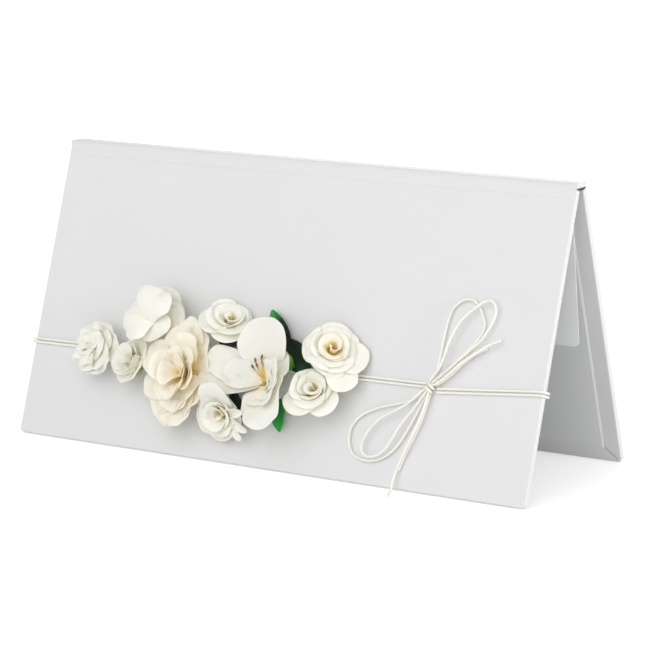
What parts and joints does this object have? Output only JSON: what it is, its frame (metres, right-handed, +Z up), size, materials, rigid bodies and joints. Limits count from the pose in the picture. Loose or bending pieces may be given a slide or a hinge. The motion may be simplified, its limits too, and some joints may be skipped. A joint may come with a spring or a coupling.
{
  "type": "money gift wallet",
  "caption": "Folding gift wallet of paper-covered boards hinged at a narrow spine, with a note flap inside, a twine bow and a cluster of paper blooms on the front.",
  "frame": {"origin": "on the surface that the tent stands on, midway along the spine and midway from front to back", "axes": "+X along the spine, towards the bow; -Y towards the front cover with the blooms; +Z up"},
  "size_m": [0.1872, 0.0771, 0.0928],
  "materials": {
    "pearl_paper": "pearl, fine linen grain",
    "lining_paper": "matte",
    "flap_paper": "matte",
    "grey_board": "raw solid board",
    "ivory_twine": "twisted waxed twine",
    "white_petal": "soft mulberry paper",
    "cream_petal": "soft mulberry paper",
    "gold_petal": "soft mulberry paper",
    "calyx_green": "wrapped floral tape",
    "leaf_green": "dyed paper"
  },
  "bodies": {
    "spine": {"spine_card": "grey_board", "spine_lining": "lining_paper", "spine_wrap": "pearl_paper"},
    "front_cover": {"ball_bloom_calyx": "calyx_green", "ball_bloom_heart": "cream_petal", "ball_bloom_outer_petals": "white_petal", "bow_knot": "ivory_twine", "bow_lower_loop_1": "ivory_twine", "bow_lower_loop_2": "ivory_twine", "bow_lower_tail_1": "ivory_twine", "bow_lower_tail_2": "ivory_twine", "bow_upper_loop_1": "ivory_twine", "bow_upper_loop_2": "ivory_twine", "bow_upper_tail_1": "ivory_twine", "bow_upper_tail_2": "ivory_twine", "frilled_bloom_calyx": "calyx_green", "frilled_bloom_heart": "gold_petal", "frilled_bloom_inner_petals": "white_petal", "frilled_bloom_outer_petals": "white_petal", "front_board": "grey_board", "front_lining": "lining_paper", "front_wrap": "pearl_paper", "green_bud": "calyx_green", "large_rose_calyx": "calyx_green", "large_rose_heart": "cream_petal", "large_rose_inner_petals": "white_petal", "large_rose_outer_petals": "white_petal", "lower_leaf": "leaf_green", "lower_rose_calyx": "calyx_green", "lower_rose_heart": "cream_petal", "lower_rose_outer_petals": "white_petal", "open_bloom_calyx": "calyx_green", "open_bloom_inner_petals": "white_petal", "open_bloom_outer_petals": "white_petal", "rosebud_calyx": "calyx_green", "rosebud_heart": "cream_petal", "rosebud_outer_petals": "white_petal", "round_rose_calyx": "calyx_green", "round_rose_heart": "cream_petal", "round_rose_inner_petals": "white_petal", "round_rose_outer_petals": "white_petal", "side_leaf": "leaf_green", "stamen_bloom_calyx": "calyx_green", "stamen_bloom_inner_petals": "white_petal", "stamen_bloom_outer_petals": "white_petal", "stamen_bloom_stamens": "gold_petal", "tucked_leaf_1": "white_petal", "tucked_leaf_2": "white_petal", "tucked_leaf_3": "white_petal", "twine_band_lower": "ivory_twine", "twine_band_upper": "ivory_twine", "upper_leaf": "leaf_green", "upper_rose_calyx": "calyx_green", "upper_rose_heart": "cream_petal", "upper_rose_outer_petals": "white_petal"},
    "back_cover": {"back_board": "grey_board", "back_lining": "lining_paper", "back_wrap": "pearl_paper"},
    "flap": {"note_flap": "flap_paper"}
  },
  "joints": [
    {"name": "front_hinge", "type": "hinge", "parent": "spine", "child": "front_cover", "pos_m": [0, 0.00095, 0.09119], "axis": [-1, 0, 0], "range_deg": [-18.4, 71]},
    {"name": "back_hinge", "type": "hinge", "parent": "spine", "child": "back_cover", "pos_m": [0, 0.00705, 0.09119], "axis": [1, 0, 0], "range_deg": [-18.4, 71]},
    {"name": "flap_crease", "type": "hinge", "parent": "spine", "child": "flap", "pos_m": [0, 0.004, 0.09119], "axis": [1, 0, 0], "range_deg": [-8, 30.5]}
  ],
  "couplings": [
    {"joint": "flap_crease", "follows": "back_hinge", "ratio": 0.42}
  ]
}
